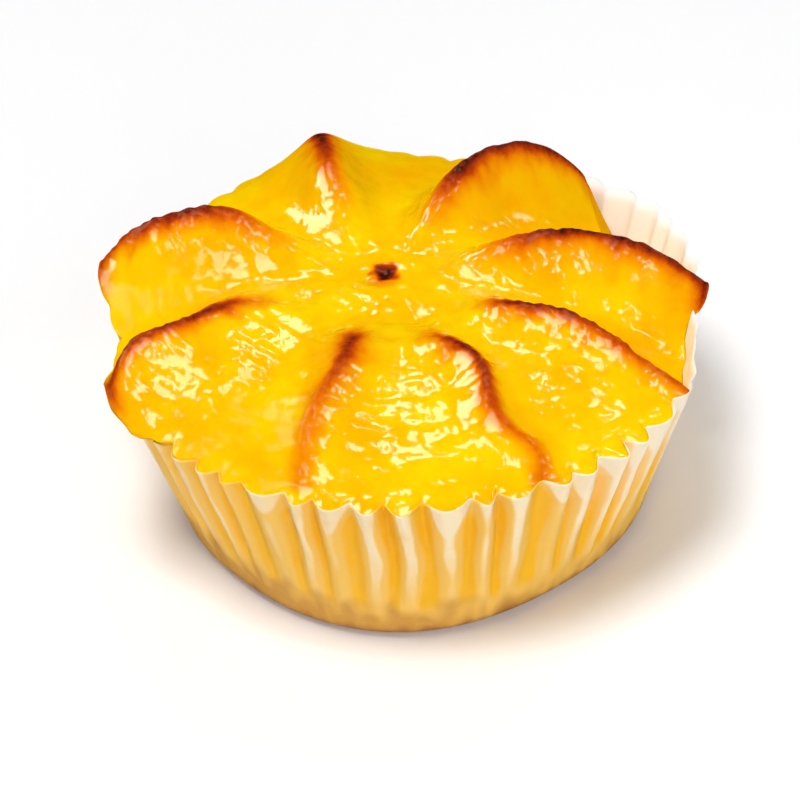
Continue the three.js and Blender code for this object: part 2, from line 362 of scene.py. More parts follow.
@dataclass(frozen=True)
class EggGlazedCurd:
    """Baked sweet curd, brushed with beaten egg.

    The curd is a dense, slightly translucent yellow. The egg dries to a clear, glossy skin that cracks
    into flat flakes, each tilted a little, so highlights break into sharp-edged chips. It browns where
    it stands up into the heat.
    """

    bright: str = "#FFCF05"
    deep: str = "#FDB002"
    browns: tuple[tuple[float, str], ...] = (
        (0.0, "#FFC203"),
        (0.2, "#F7A503"),
        (0.4, "#E87F04"),
        (0.56, "#D05806"),
        (0.7, "#AC3A0A"),
        (0.85, "#80250E"),
        (1.0, "#3A110A"),
    )
    mottle_mm: float = 9.0
    brown_grain_mm: float = 0.9
    speckle_base: float = 0.65
    speckle_gain: float = 0.7
    brown_onset: float = 0.2
    pore_mm: float = 0.55
    pore_depth_mm: float = 0.045
    glaze_roughness: float = 0.04
    glaze_ior: float = 1.32
    scorch_from: float = 0.2
    scorch_to: float = 0.62
    scorched_glaze: float = 0.15
    flake_mm: float = 1.7
    flake_tilt: float = 0.08
    translucency: float = 0.3
    translucent_depth_mm: float = 1.2
    translucent_reach: tuple[float, float, float] = (1.0, 0.5, 0.12)

    def baked_share(self, tree: Tree, place: Socket) -> Socket:
        """How far the curd has baked, broken up by a fine grain.

        Args:
            tree: node tree of the material.
            place: place on the piece.

        Returns:
            The browning, from 0 raw to about 1 burnt.
        """
        browning = add_node(tree, "ShaderNodeAttribute", {}, attribute_name="browning")
        grain = add_node(tree, "ShaderNodeTexNoise", {
            "Vector": place, "Scale": per_mm(self.brown_grain_mm), "Detail": 4.0, "Roughness": 0.65})
        speckle = add_node(tree, "ShaderNodeMath", {
            0: grain.outputs["Fac"], 1: self.speckle_gain, 2: self.speckle_base}, operation="MULTIPLY_ADD")
        baked = add_node(tree, "ShaderNodeMath", {
            0: browning.outputs["Fac"], 1: speckle.outputs["Value"]}, operation="MULTIPLY")
        return baked.outputs["Value"]

    def colour(self, tree: Tree, place: Socket, baked: Socket) -> Socket:
        """Colour of the curd: a mottled yellow that goes through the browns as it bakes.

        Args:
            tree: node tree of the material.
            place: place on the piece.
            baked: how far the curd has baked.

        Returns:
            The colour.
        """
        mottle = add_node(tree, "ShaderNodeTexNoise", {
            "Vector": place, "Scale": per_mm(self.mottle_mm), "Detail": 3.0, "Roughness": 0.6})
        uneven = add_node(tree, "ShaderNodeMapRange", {
            "Value": mottle.outputs["Fac"], "From Min": 0.3, "From Max": 0.65})
        yellow = add_node(tree, "ShaderNodeMix", {
            MIX_FACTOR: uneven.outputs["Result"], MIX_A: linear(self.deep), MIX_B: linear(self.bright),
        }, data_type="RGBA")

        ramp = add_node(tree, "ShaderNodeValToRGB", {"Fac": baked})
        stops = ramp.color_ramp.elements
        while len(stops) < len(self.browns):
            stops.new(1.0)
        for stop, (position, code) in zip(stops, self.browns):
            stop.position = position
            stop.color = linear(code)
        onset = add_node(tree, "ShaderNodeMapRange", {"Value": baked, "From Max": self.brown_onset},
                         interpolation_type="SMOOTHSTEP")
        mixed = add_node(tree, "ShaderNodeMix", {
            MIX_FACTOR: onset.outputs["Result"], MIX_A: yellow.outputs[MIX_RESULT],
            MIX_B: ramp.outputs["Color"]}, data_type="RGBA")
        return mixed.outputs[MIX_RESULT]

    def glaze(self, tree: Tree, baked: Socket) -> Socket:
        """Weight of the egg glaze: the attribute glaze, less where the curd is scorched.

        Args:
            tree: node tree of the material.
            baked: how far the curd has baked.

        Returns:
            The weight, from 0 dull to 1 glossy.
        """
        dulled = add_node(tree, "ShaderNodeMapRange", {
            "Value": baked, "From Min": self.scorch_from, "From Max": self.scorch_to,
            "To Min": 1.0, "To Max": self.scorched_glaze})
        brushed = add_node(tree, "ShaderNodeAttribute", {}, attribute_name="glaze")
        weight = add_node(tree, "ShaderNodeMath", {
            0: dulled.outputs["Result"], 1: brushed.outputs["Fac"]}, operation="MULTIPLY")
        return weight.outputs["Value"]

    def flaked_normal(self, tree: Tree, place: Socket) -> Socket:
        """Normal of the egg glaze: fine pores, and ragged flakes that are each tilted their own way.

        Args:
            tree: node tree of the material.
            place: place on the piece.

        Returns:
            The normal.
        """
        pores = add_node(tree, "ShaderNodeTexNoise", {
            "Vector": place, "Scale": per_mm(self.pore_mm), "Detail": 1.0, "Roughness": 0.5})
        bump = add_node(tree, "ShaderNodeBump", {
            "Height": pores.outputs["Fac"], "Strength": 0.8, "Distance": self.pore_depth_mm * MM})
        ragged = add_node(tree, "ShaderNodeTexNoise", {
            "Vector": place, "Scale": per_mm(self.flake_mm), "Detail": 2.0, "Roughness": 0.6})
        moved = add_node(tree, "ShaderNodeVectorMath", {
            0: ragged.outputs["Color"], 1: (self.flake_mm * MM,) * 3, 2: place}, operation="MULTIPLY_ADD")
        flakes = add_node(tree, "ShaderNodeTexVoronoi", {
            "Vector": moved.outputs["Vector"], "Scale": per_mm(self.flake_mm)})
        tilt = add_node(tree, "ShaderNodeVectorMath", {
            0: flakes.outputs["Color"], 1: (2.0 * self.flake_tilt,) * 3, 2: (-self.flake_tilt,) * 3,
        }, operation="MULTIPLY_ADD")
        tilted = add_node(tree, "ShaderNodeVectorMath", {
            0: bump.outputs["Normal"], 1: tilt.outputs["Vector"]}, operation="ADD")
        facing = add_node(tree, "ShaderNodeVectorMath", {
            0: tilted.outputs["Vector"]}, operation="NORMALIZE")
        return facing.outputs["Vector"]

    def material(self) -> bpy.types.Material:
        """Build the material.

        Returns:
            A material that reads the attributes browning, from 0 raw to 1 burnt, and glaze, from 0 dull
            to 1 glossy.
        """
        made, tree, place = new_material("egg_glazed_curd")
        baked = self.baked_share(tree, place)
        shader = add_node(tree, "ShaderNodeBsdfPrincipled", {
            "Base Color": self.colour(tree, place, baked),
            "Roughness": 0.6,
            "Specular IOR Level": 0.0,
            "Subsurface Weight": self.translucency,
            "Subsurface Radius": self.translucent_reach,
            "Subsurface Scale": self.translucent_depth_mm * MM,
            "Coat Weight": self.glaze(tree, baked),
            "Coat Roughness": self.glaze_roughness,
            "Coat IOR": self.glaze_ior,
            "Coat Normal": self.flaked_normal(tree, place),
        })
        add_node(tree, "ShaderNodeOutputMaterial", {"Surface": shader.outputs["BSDF"]})
        return made


@dataclass(frozen=True)
class GreasedBakingPaper:
    """Thin bleached baking paper, pleated by a press and baked on the food.

    Dry paper is near white. Where the filling has wetted it with fat the paper turns translucent and
    shows the yellow behind, and at the base it has taken on the tan of the baked crust. Its fibres are
    drawn coarser than real ones, so that they show.
    """

    soaked: str = "#FCCA60"
    # Whitish cream of the outer folds: partly paper that the fat hasn't soaked, partly a painted highlight
    # on the fold crests
    pale_and_highlight: str = "#FFEAC2"
    greased: str = "#FFC01E"
    baked: str = "#DBA24A"
    edge: str = "#AD7036"
    dry: str = "#F9FAFB"
    mottle_mm: float = 3.0
    mottle_base: float = 0.3
    mottle_gain: float = 1.4
    fibre_mm: float = 0.5
    fibre_depth_mm: float = 0.06
    roughness: float = 0.5

    def material(self) -> bpy.types.Material:
        """Build the material.

        Returns:
            A material that reads the attributes crease, contact, baked, foot and dryness, each from 0 for
            none to 1 or more for full.
        """
        made, tree, place = new_material("greased_baking_paper")
        mottle = add_node(tree, "ShaderNodeTexNoise", {
            "Vector": place, "Scale": per_mm(self.mottle_mm), "Detail": 4.0, "Roughness": 0.6})
        uneven = add_node(tree, "ShaderNodeMath", {
            0: mottle.outputs["Fac"], 1: self.mottle_gain, 2: self.mottle_base}, operation="MULTIPLY_ADD")

        colour = linear(self.soaked)
        # The mark along the outer folds is partly unsoaked paper and partly a painted highlight on their
        # crests
        marks = {"crease_and_highlight": self.pale_and_highlight, "contact": self.greased, "baked": self.baked, "foot": self.edge,
                 "dryness": self.dry}
        for attribute, code in marks.items():
            share = add_node(tree, "ShaderNodeAttribute", {}, attribute_name=attribute)
            patchy = add_node(tree, "ShaderNodeMath", {0: share.outputs["Fac"], 1: uneven.outputs["Value"]},
                              operation="MULTIPLY", use_clamp=True)
            stained = add_node(tree, "ShaderNodeMix", {
                MIX_FACTOR: patchy.outputs["Value"], MIX_A: colour, MIX_B: linear(code)}, data_type="RGBA")
            colour = stained.outputs[MIX_RESULT]

        fibre = add_node(tree, "ShaderNodeTexNoise", {
            "Vector": place, "Scale": per_mm(self.fibre_mm), "Detail": 3.0, "Roughness": 0.6})
        bump = add_node(tree, "ShaderNodeBump", {
            "Height": fibre.outputs["Fac"], "Strength": 0.6, "Distance": self.fibre_depth_mm * MM})
        shader = add_node(tree, "ShaderNodeBsdfPrincipled", {
            "Base Color": colour,
            "Roughness": self.roughness,
            "Specular IOR Level": 0.15,
            "Normal": bump.outputs["Normal"],
        })
        add_node(tree, "ShaderNodeOutputMaterial", {"Surface": shader.outputs["BSDF"]})
        return made


@dataclass(frozen=True)
class WhiteCard:
    """Matte white card on a light table: bright, with a glow from below and no gloss of its own."""

    colour: str = "#F4F4F5"
    roughness: float = 0.9
    glow_colour: str = "#F8FAFF"
    glow: float = 0.09

    def material(self) -> bpy.types.Material:
        """Build the material.

        Returns:
            A plain matte material.
        """
        made = bpy.data.materials.new("white_card")
        made.use_nodes = True
        shader = made.node_tree.nodes["Principled BSDF"]
        shader.inputs["Base Color"].default_value = linear(self.colour)
        shader.inputs["Roughness"].default_value = self.roughness
        shader.inputs["Specular IOR Level"].default_value = 0.0
        shader.inputs["Emission Color"].default_value = linear(self.glow_colour)
        shader.inputs["Emission Strength"].default_value = self.glow
        return made


@dataclass(frozen=True)
class Wave:
    """One wave round the turn: its size, its number in the turn and its phase."""

    size: float
    count: int
    phase: float


def wave_sum(waves: tuple[Wave, ...], whole: Array) -> Array:
    """Sum of waves round the turn, for an angle in radians."""
    return sum(wave.size * np.sin(wave.count * whole + wave.phase) for wave in waves)


@dataclass(frozen=True)
class CaseWall:
    """The pleated wall that the paper case and the filling share."""

    base_radius: float = 26.4
    rim_radius: float = 34.0
    rim_height: float = 22.8
    sheet: float = 0.15
    corner_radius: float = 2.4
    pleats: int = 52
    pleat_start: float = 4.8
    start_spread: float = 2.2
    pleat_growth: float = 0.6
    crease_rounding: float = 0.2
    softness_spread: float = 6.0
    drift: float = 0.8
    drift_height: float = 9.0
    belly_bearing: float = -98.0
    belly_half_width: float = 48.0
    belly_swell: float = 1.9
    spacing_waves: tuple[Wave, ...] = (Wave(0.55, 5, 1.0), Wave(0.45, 13, 2.2), Wave(0.45, 21, 0.0))
    depth_waves: tuple[Wave, ...] = (Wave(0.14, 7, 0.6), Wave(0.16, 17, 4.0))
    fold_depths: Pairs = (
        (0, 0.15), (22, 0.45), (75, 0.6), (150, 0.6), (185, 0.45), (215, 0.7), (255, 0.85), (290, 0.95),
        (318, 0.9), (338, 0.15),
    )
    rim_offsets: Pairs = (
        (0, -2.1), (14, -0.4), (30, 0.2), (46, -1.3), (75, -1.9), (105, -1.3), (135, -1.0), (150, -0.6),
        (182, -2.0), (213, -0.6), (235, 0.0), (270, 0.3), (315, 0.2), (332, 0.2), (346, -1.5),
    )

    def turns(self, points_per_pleat: int) -> Array:
        """Places of the points round a ring, as shares of the turn."""
        count = self.pleats * points_per_pleat
        return np.arange(count) / count

    @property
    def fold_reach(self) -> float:
        """The furthest that the fold wave can reach."""
        return 1.0 + sum(wave.size for wave in self.depth_waves)

    def angle_at(self, turn: Array) -> Array:
        """Angle in radians of a place on the rim, whose folds aren't evenly spaced."""
        whole = 2.0 * np.pi * turn
        return whole + wave_sum(self.spacing_waves, whole) / self.pleats

    def bearing_at(self, turn: Array) -> Array:
        """Bearing in degrees of a place on the rim."""
        return np.degrees(self.angle_at(turn))

    def pleat_noise(self, turn: Array, seed: Seed, up: Any = HALF_CELL) -> Array:
        """Noise from pleat to pleat, which may vary up the wall too."""
        return gradient_noise(turn * self.pleats, up, seed, self.pleats)

    def fold_wave(self, turn: Array, height: Array) -> Array:
        """In and out wave of the folds.

        The wave has broad folds outwards and pinched hollows inwards: twice the size of the sine of half
        the phase, less 1, rounded more in some pleats than in others. Its phase drifts with height,
        because pressed creases don't run quite straight.

        Args:
            turn: place round the rim, 0 to 1.
            height: height over the base.

        Returns:
            The wave, from about -1 at a hollow to 1 at an outer fold.
        """
        whole = 2.0 * np.pi * turn
        wander = self.pleat_noise(turn, Seed.CREASE_DRIFT, height / self.drift_height)
        phase = self.pleats * whole + self.drift * wander
        softness = self.pleat_noise(turn, Seed.FOLD_SOFTNESS)
        rounding = self.crease_rounding * self.softness_spread ** softness
        fold = np.hypot(np.sin(0.5 * phase - 0.25 * np.pi), rounding) - rounding
        wave = 2.0 * fold / (np.hypot(1.0, rounding) - rounding) - 1.0
        return wave * (1.0 + wave_sum(self.depth_waves, whole))

    def wall_line(self, bearing: Array) -> tuple[Array, Array]:
        """The sloping wall.

        Args:
            bearing: places round the turn, in degrees.

        Returns:
            The radius where the wall would meet the floor, and its run out for each millimetre up.
        """
        half = 0.5 * FULL_TURN
        away = np.abs(np.mod(bearing - self.belly_bearing + half, FULL_TURN) - half)
        swell = 1.0 - half_cosine(np.clip(away / self.belly_half_width, 0.0, 1.0))
        foot = self.base_radius + self.belly_swell * swell
        run = (self.rim_radius + round_turn(self.rim_offsets, bearing) - foot) / self.rim_height
        return foot, run

    def wall_radius(self, bearing: Array, height: Array) -> Array:
        """Radius of the wall half way between its outer and inner folds."""
        foot, run = self.wall_line(bearing)
        return foot + run * height

    def fold_depth(self, turn: Array, height: Array) -> Array:
        """Depth of the folds, which start unevenly above the base and grow towards the rim.

        Args:
            turn: place round the rim, 0 to 1.
            height: height over the base.

        Returns:
            The depth, outwards and inwards of the wall's middle.
        """
        start = self.pleat_start + self.start_spread * self.pleat_noise(turn, Seed.CREASE_START)
        grown = np.clip((height - start) / (self.rim_height - start), 0.0, None)
        return round_turn(self.fold_depths, self.bearing_at(turn)) * grown ** self.pleat_growth

    def fold_offset(self, turn: Array, height: Array) -> Array:
        """How far the folded paper stands out of the wall's middle."""
        return self.fold_depth(turn, height) * self.fold_wave(turn, height)

    def corner_points(self, turn: Array, sweep: Array, inset: float) -> Array:
        """Rounded corner between the flat base and the wall, an arc that touches both.

        Args:
            turn: places round the turn.
            sweep: 0 at the base to 1 at the wall.
            inset: how far inside the paper's outer face the arc lies.

        Returns:
            The points.
        """
        angle = self.angle_at(turn)
        foot, run = self.wall_line(np.degrees(angle))
        lean = np.arctan(run)
        middle = foot + run * self.corner_radius - self.corner_radius / np.cos(lean)
        tilt = mix(-0.5 * np.pi, -lean, sweep)
        radius = self.corner_radius - inset
        return polar(middle + radius * np.cos(tilt), angle, self.corner_radius + radius * np.sin(tilt))


@dataclass(frozen=True)
class Ridge:
    """One pinched ridge of the filling, and the petal that follows it clockwise.

    Attributes:
        tip: bearing of its outer end.
        swirl: degrees that its crest has turned by at the pole.
        rise: height over the petals at its peak.
        tip_rise: height over the petals at its outer end.
        start: where it starts, counted from 0 at the pole to 1 at the edge.
        peak: where it is highest.
        rounding: radius of its crest.
        clockwise_flank: width of its flank going clockwise.
        anticlockwise_flank: width of its other flank.
        edge: level of the petal's edge.
        puff: how far the petal is puffed up.
        darkness: browning of the crest at its darkest.
        tip_darkness: browning of its outer end.
        darkest: where it is darkest.
        halo: how wide the browning spreads.
        sway: how far the crest waves from side to side.
        phase: phase of that wave.
        kink: how far the crest steps aside near its outer end.
        end: where it ends.
    """

    tip: float
    swirl: float
    rise: float
    tip_rise: float
    start: float
    peak: float
    rounding: float
    clockwise_flank: float
    anticlockwise_flank: float
    edge: float
    puff: float
    darkness: float
    tip_darkness: float
    darkest: float
    halo: float
    sway: float
    phase: float = 0.0
    kink: float = 0.0
    end: float = 1.0


@dataclass(frozen=True)
class CheeseFilling:
    """The filling: a low dome with eight cusped ridges round a burnt pit, lipped over the rim in places."""

    wall: CaseWall
    finish: EggGlazedCurd = EggGlazedCurd()
    points_per_pleat: int = 12
    rings_out: int = 140

    # Dome and ridges
    pole_x: float = -2.0
    pole_y: float = 2.0
    pole_height: float = 27.4
    pit_depth: float = 0.5
    pit_radius: float = 1.6
    gap: float = 0.05
    crest_edge: float = 22.0
    valley_power: float = 2.2
    puff_power: float = 1.3
    puff_from: float = 0.4
    mean_reach: float = 33.0
    start_rounding: float = 2.5
    swell_share: float = 0.5
    tip_drop_power: float = 2.6
    sway_wavelength: float = 0.47
    sway_from: float = 0.3
    sway_fade_in: float = 0.15
    sway_fade_out: float = 0.12
    kink_place: float = 0.9
    kink_width: float = 0.06

    # Edge, lips and side
    edge_thickness: float = 0.3
    free_thickness: float = 0.9
    lip_thickness: float = 1.5
    lip_seat: float = 0.7
    lip_bulge: float = 0.75
    lip_undercut: float = 0.5
    lip_crossing: float = 0.6
    lip_full_overhang: float = 1.5
    lip_steps: int = 6
    clear_of_folds: float = 0.8
    shoulder_drop: float = 0.75
    side_rows: int = 5
    side_bottom: float = 0.3
    corner_rows: int = 4
    flutes_from: float = 0.94

    # Uneven skin
    noise_slant: float = 0.6
    calm_from: float = 0.78
    calm_change: float = 0.15
    edge_unevenness: float = 0.6
    edge_fade: float = 0.05
    pole_fade: float = 2.5
    grains: tuple[Grain, ...] = (
        Grain(Seed.SWELL, 6.0, 0.4),
        Grain(Seed.LUMPS, 2.7, 0.16),
        Grain(Seed.DIMPLES, 1.4, 0.08),
        Grain(Seed.STROKES, 1.2, 0.1, 4.0),
    )
    unevenness: Pairs = ((0, 1.0), (45, 0.8), (70, 0.2), (125, 0.2), (148, 1.0))
    unevenness_change: float = 0.5
    crust: Grain = Grain(Seed.CRUST, 0.8, 0.22)
    crust_width: float = 0.8
    crust_onset: float = 0.2

    # Browning
    browning_cell: float = 2.4
    speckle_cell: float = 1.0
    speckle_share: float = 0.5
    browning_unevenness: float = 0.4
    browning_delay: float = 0.02
    browning_tail: float = 0.06
    halo_power: float = 1.3
    line_width: float = 1.3
    line_share: float = 0.5
    border_width: float = 1.2
    border_reach: float = 3.2
    under_fade: float = 1.8
    burn_radius: float = 1.45
    burn_power: int = 4
    burn_cell: float = 1.2
    burn_raggedness: float = 0.45
    glow_x: float = -0.3
    glow_y: float = -1.0
    glow_radius: float = 1.6
    glow_browning: float = 0.5

    # Egg glaze
    glaze_from: float = 0.45
    glaze_change: float = 0.35
    glazes: Pairs = (
        (5, 1.0), (20, 0.5), (50, 0.3), (70, 0.12), (140, 0.12), (155, 0.6), (163, 1.0), (172, 0.1),
        (192, 0.05), (200, 1.0), (214, 1.0), (224, 0.15), (243, 0.15), (252, 1.0),
    )

    # Ridges going clockwise, and the edge going round
    ridges: tuple[Ridge, ...] = (
        Ridge(
            tip=105, swirl=16, rise=6.7, tip_rise=1.9, start=0.14, peak=0.6,
            rounding=2.4, clockwise_flank=8.0, anticlockwise_flank=7.0, edge=21.6, puff=0.4,
            darkness=1.0, tip_darkness=0.9, darkest=0.75, halo=2.3, sway=0.1,
        ),
        Ridge(
            tip=47, swirl=18, rise=8.0, tip_rise=2.4, start=0.14, peak=0.64,
            rounding=0.9, clockwise_flank=6.0, anticlockwise_flank=6.0, edge=16.0, puff=0.6,
            darkness=0.95, tip_darkness=0.9, darkest=0.5, halo=2.9, sway=0.1,
        ),
        Ridge(
            tip=3, swirl=1, rise=6.2, tip_rise=1.7, start=0.16, peak=0.58,
            rounding=0.6, clockwise_flank=5.0, anticlockwise_flank=3.0, edge=17.6, puff=1.0,
            darkness=1.0, tip_darkness=0.9, darkest=0.55, halo=2.6, sway=0.2, phase=3.1,
        ),
        Ridge(
            tip=-28, swirl=-9, rise=4.0, tip_rise=0.4, start=0.26, peak=0.6,
            rounding=0.5, clockwise_flank=4.0, anticlockwise_flank=2.2, edge=21.9, puff=1.2,
            darkness=0.9, tip_darkness=0.6, darkest=0.45, halo=2.2, sway=0.5, phase=2.4,
        ),
        Ridge(
            tip=-66, swirl=-7, rise=4.4, tip_rise=0.1, start=0.26, peak=0.62,
            rounding=0.7, clockwise_flank=4.0, anticlockwise_flank=2.0, edge=21.9, puff=1.5,
            darkness=0.9, tip_darkness=0.45, darkest=0.5, halo=1.8, sway=1.1, phase=1.5, kink=1.3, end=0.98,
        ),
        Ridge(
            tip=-114, swirl=8, rise=4.8, tip_rise=0.0, start=0.24, peak=0.66,
            rounding=0.9, clockwise_flank=3.0, anticlockwise_flank=2.6, edge=22.4, puff=1.3,
            darkness=0.85, tip_darkness=0.35, darkest=0.42, halo=2.6, sway=0.3, phase=1.2, end=0.93,
        ),
        Ridge(
            tip=-159, swirl=-5, rise=6.4, tip_rise=3.0, start=0.28, peak=0.88,
            rounding=1.0, clockwise_flank=2.6, anticlockwise_flank=5.0, edge=22.4, puff=0.8,
            darkness=0.87, tip_darkness=0.75, darkest=0.6, halo=1.5, sway=0.6, phase=3.6,
        ),
        Ridge(
            tip=-197, swirl=-8, rise=7.7, tip_rise=3.2, start=0.18, peak=0.7,
            rounding=0.9, clockwise_flank=4.0, anticlockwise_flank=6.0, edge=22.1, puff=0.5,
            darkness=0.95, tip_darkness=0.7, darkest=0.7, halo=2.0, sway=0.5, phase=4.6,
        ),
    )
    overhangs: Pairs = (
        (3, 1.3), (13, -0.9), (32, -0.9), (60, -0.5), (75, 0.2), (105, 0.6), (135, 0.2), (150, 1.0),
        (163, 2.3), (173, 0.7), (182, 0.2), (190, 0.6), (196, 1.7), (203, 2.0), (209, 1.4), (215, 0.4),
        (221, -0.4), (232, -0.8), (285, -0.8), (299, -0.45), (318, -0.45), (330, -0.8), (354, -0.9),
    )
    insets: Pairs = (
        (0, 0.0), (18, 0.0), (28, 2.0), (38, 2.8), (47, 1.8), (56, 0.6), (64, 0.0), (180, 0.0),
    )

    def ridge_values(self, name: str) -> Array:
        """One field of every ridge, in their order."""
        return np.array([getattr(ridge, name) for ridge in self.ridges], float)

    def petal_at(self, bearing: Array) -> tuple[Array, Array, Array, Array]:
        """The petal that a bearing lies in.

        Args:
            bearing: places round the turn, in degrees.

        Returns:
            The numbers of the ridges before and after it going clockwise, how far across the petal it lies,
            and the petal's span in radians.
        """
        tips = self.ridge_values("tip")
        spans = np.mod(tips - np.roll(tips, -1), FULL_TURN)
        past = np.mod(tips[:, None] - bearing, FULL_TURN)
        before = np.argmin(past, axis=0)
        after = (before + 1) % len(tips)
        across = np.min(past, axis=0) / spans[before]
        return before, after, across, np.radians(spans[before])

    def crest_rise(self, number: Array, out: Array) -> Array:
        """Height of a crest over its petals.

        It climbs half as an S and half as a quick swell, then drops to its end as a power of the way.

        Args:
            number: which ridge.
            out: 0 at the pole to 1 at the edge.

        Returns:
            The height.
        """
        rise = self.ridge_values("rise")[number]
        start = self.ridge_values("start")[number]
        peak = self.ridge_values("peak")[number]
        end = self.ridge_values("end")[number]
        climb = np.clip((out - start) / (peak - start), 0.0, 1.0)
        fall = np.clip((out - peak) / (end - peak), 0.0, 1.0)
        rising = rise * mix(ease(climb), 1.0 - (1.0 - climb) ** 2, self.swell_share)
        falling = mix(rise, self.ridge_values("tip_rise")[number], fall ** self.tip_drop_power)
        return np.where(out < peak, rising, falling)

    def crest_rounding(self, number: Array, out: Array) -> Array:
        """Radius of a crest across, blunt where it starts and sharper towards its peak.

        Args:
            number: which ridge.
            out: 0 at the pole to 1 at the edge.

        Returns:
            The radius.
        """
        start = self.ridge_values("start")[number]
        peak = self.ridge_values("peak")[number]
        pinched = ease((out - start) / (peak - start))
        return self.ridge_values("rounding")[number] + self.start_rounding * (1.0 - pinched)

    def top_level(self, bearing: Array, out: Array) -> Array:
        """Level of the filling's top.

        A dome falls as a power of the way out. From each crest the flanks fall by one less an exponential
        of the distance beside it, which is rounded at the crest and goes as the sine across the petal, so
        that crests are pinched and valleys round. The petals are puffed up between pole and edge.

        Args:
            bearing: places round the turn, in degrees.
            out: 0 at the pole to 1 at the edge.

        Returns:
            The level over the floor.
        """
        before, after, across, span = self.petal_at(bearing)
        share = half_cosine(across)
        dip = np.sin(np.pi * across)
        edge = mix(self.crest_edge, self.ridge_values("edge")[before], dip)
        valley = mix(self.pole_height, edge, out ** self.valley_power)
        swell = np.sin(np.pi * out ** self.puff_power) * ease(out / self.puff_from)
        puff = self.ridge_values("puff")[before] * dip * swell

        lift = mix(self.crest_rise(before, out), self.crest_rise(after, out), share)
        rounding = mix(self.crest_rounding(before, out), self.crest_rounding(after, out), share)
        width = mix(self.ridge_values("clockwise_flank")[before],
                    self.ridge_values("anticlockwise_flank")[after], share)
        middle = span * out * self.mean_reach / np.pi
        beside = np.hypot(middle * dip, rounding) - rounding
        furthest = np.hypot(middle, rounding) - rounding
        fall = np.expm1(-beside / width) / np.expm1(-furthest / width)
        return valley + puff + lift * (1.0 - fall)

    def edge_level(self, bearing: Array) -> Array:
        """Level of the top where it meets the paper or ends in a lip."""
        return self.top_level(bearing, np.float64(1.0))

    def overhang(self, bearing: Array) -> Array:
        """How far the filling's edge reaches over the rim, below zero where it stays inside the paper."""
        return round_turn(self.overhangs, bearing)

    def lip_share(self, bearing: Array) -> Array:
        """Share of the filling's edge that lies out over the rim, 0 inside the paper."""
        return ease(self.overhang(bearing) / self.lip_crossing)

    def inset(self, bearing: Array) -> Array:
        """How far the filling has shrunk away from the paper."""
        return round_turn(self.insets, bearing)

    def shrunk_share(self, bearing: Array) -> Array:
        """1 where the filling has shrunk clear of the paper's folds, 0 where it lies in them."""
        return ease(self.inset(bearing) / self.clear_of_folds)

    def lip_depth(self, bearing: Array) -> Array:
        """Thickness of the filling's edge, more where it is free of the paper or sits on the rim.

        Args:
            bearing: places round the turn, in degrees.

        Returns:
            The thickness.
        """
        over_rim = ease(self.overhang(bearing) / self.lip_full_overhang)
        above_rim = self.edge_level(bearing) - self.wall.rim_height
        seated = np.maximum(above_rim + self.lip_seat, self.lip_thickness)
        free = mix(self.edge_thickness, self.free_thickness, self.shrunk_share(bearing))
        return mix(free, seated, over_rim)

    def edge_radius(self, bearing: Array) -> Array:
        """Edge of the filling: along the middle of the paper's folds, in from them, or out over the rim.

        Args:
            bearing: places round the turn, in degrees.

        Returns:
            The radius.
        """
        paper = self.wall.wall_radius(bearing, self.edge_level(bearing)) - self.wall.sheet
        in_folds = paper - self.gap - self.inset(bearing)
        over_rim = self.wall.wall_radius(bearing, self.wall.rim_height) + self.overhang(bearing)
        return mix(in_folds, over_rim, self.lip_share(bearing))

    def flute_depth(self, turn: Array) -> Array:
        """How far the edge follows the paper's folds in and out.

        Args:
            turn: places round the turn.

        Returns:
            The distance outwards.
        """
        bearing = self.wall.bearing_at(turn)
        held = (1.0 - self.lip_share(bearing)) * (1.0 - self.shrunk_share(bearing))
        return self.wall.fold_offset(turn, self.edge_level(bearing)) * held

    def crest_turn(self, number: Array, out: Array, reach: Array) -> Array:
        """Turn of a crest about the pole: its swirl, a wave from side to side and a kink.

        Args:
            number: which ridge.
            out: 0 at the pole to 1 at the edge.
            reach: distance from pole to edge.

        Returns:
            The turn in radians.
        """
        swirl = np.radians(self.ridge_values("swirl")[number]) * (1.0 - out)
        fade_in = np.clip((out - self.sway_from) / self.sway_fade_in, 0.0, 1.0)
        fade_out = np.clip((1.0 - out) / self.sway_fade_out, 0.0, 1.0)
        wave = np.cos(2.0 * np.pi * out / self.sway_wavelength - self.ridge_values("phase")[number])
        sway = self.ridge_values("sway")[number] * wave * fade_in * fade_out
        kink = self.ridge_values("kink")[number] * bell(out - self.kink_place, self.kink_width)
        return swirl + (sway + kink) / (reach * np.maximum(out, self.sway_from))

    def top_points(self, turn: Array, out: Array) -> Array:
        """Smooth top of the filling: the line from pole to edge, turned with the crests beside it.

        Args:
            turn: places round the turn.
            out: column of places from the pole, 0, to the edge, 1.

        Returns:
            A grid of points.
        """
        angle = self.wall.angle_at(turn)
        bearing = np.degrees(angle)
        before, after, across, _ = self.petal_at(bearing)
        fluting = ease((out - self.flutes_from) / (1.0 - self.flutes_from))
        edge = polar(self.edge_radius(bearing) + self.flute_depth(turn) * fluting, angle, 0.0)
        x = edge[..., 0] - self.pole_x
        y = edge[..., 1] - self.pole_y
        reach = np.hypot(x, y)
        share = half_cosine(across)
        twist = mix(self.crest_turn(before, out, reach), self.crest_turn(after, out, reach), share)
        pit = self.pit_depth * (1.0 - ease(out * reach / self.pit_radius))
        points = polar(out * reach, np.arctan2(y, x) + twist, self.top_level(bearing, out) - pit)
        return points + np.array([self.pole_x, self.pole_y, 0.0])

    def nearest_crest(self, turn: Array) -> tuple[Array, Array]:
        """The ridge that each place round the turn is nearest to.

        Args:
            turn: places round the turn.

        Returns:
            The number of that ridge, and how far round from it the place lies, in radians.
        """
        before, after, across, span = self.petal_at(self.wall.bearing_at(turn))
        nearest = np.where(across < 0.5, before, after)
        return nearest, np.minimum(across, 1.0 - across) * span

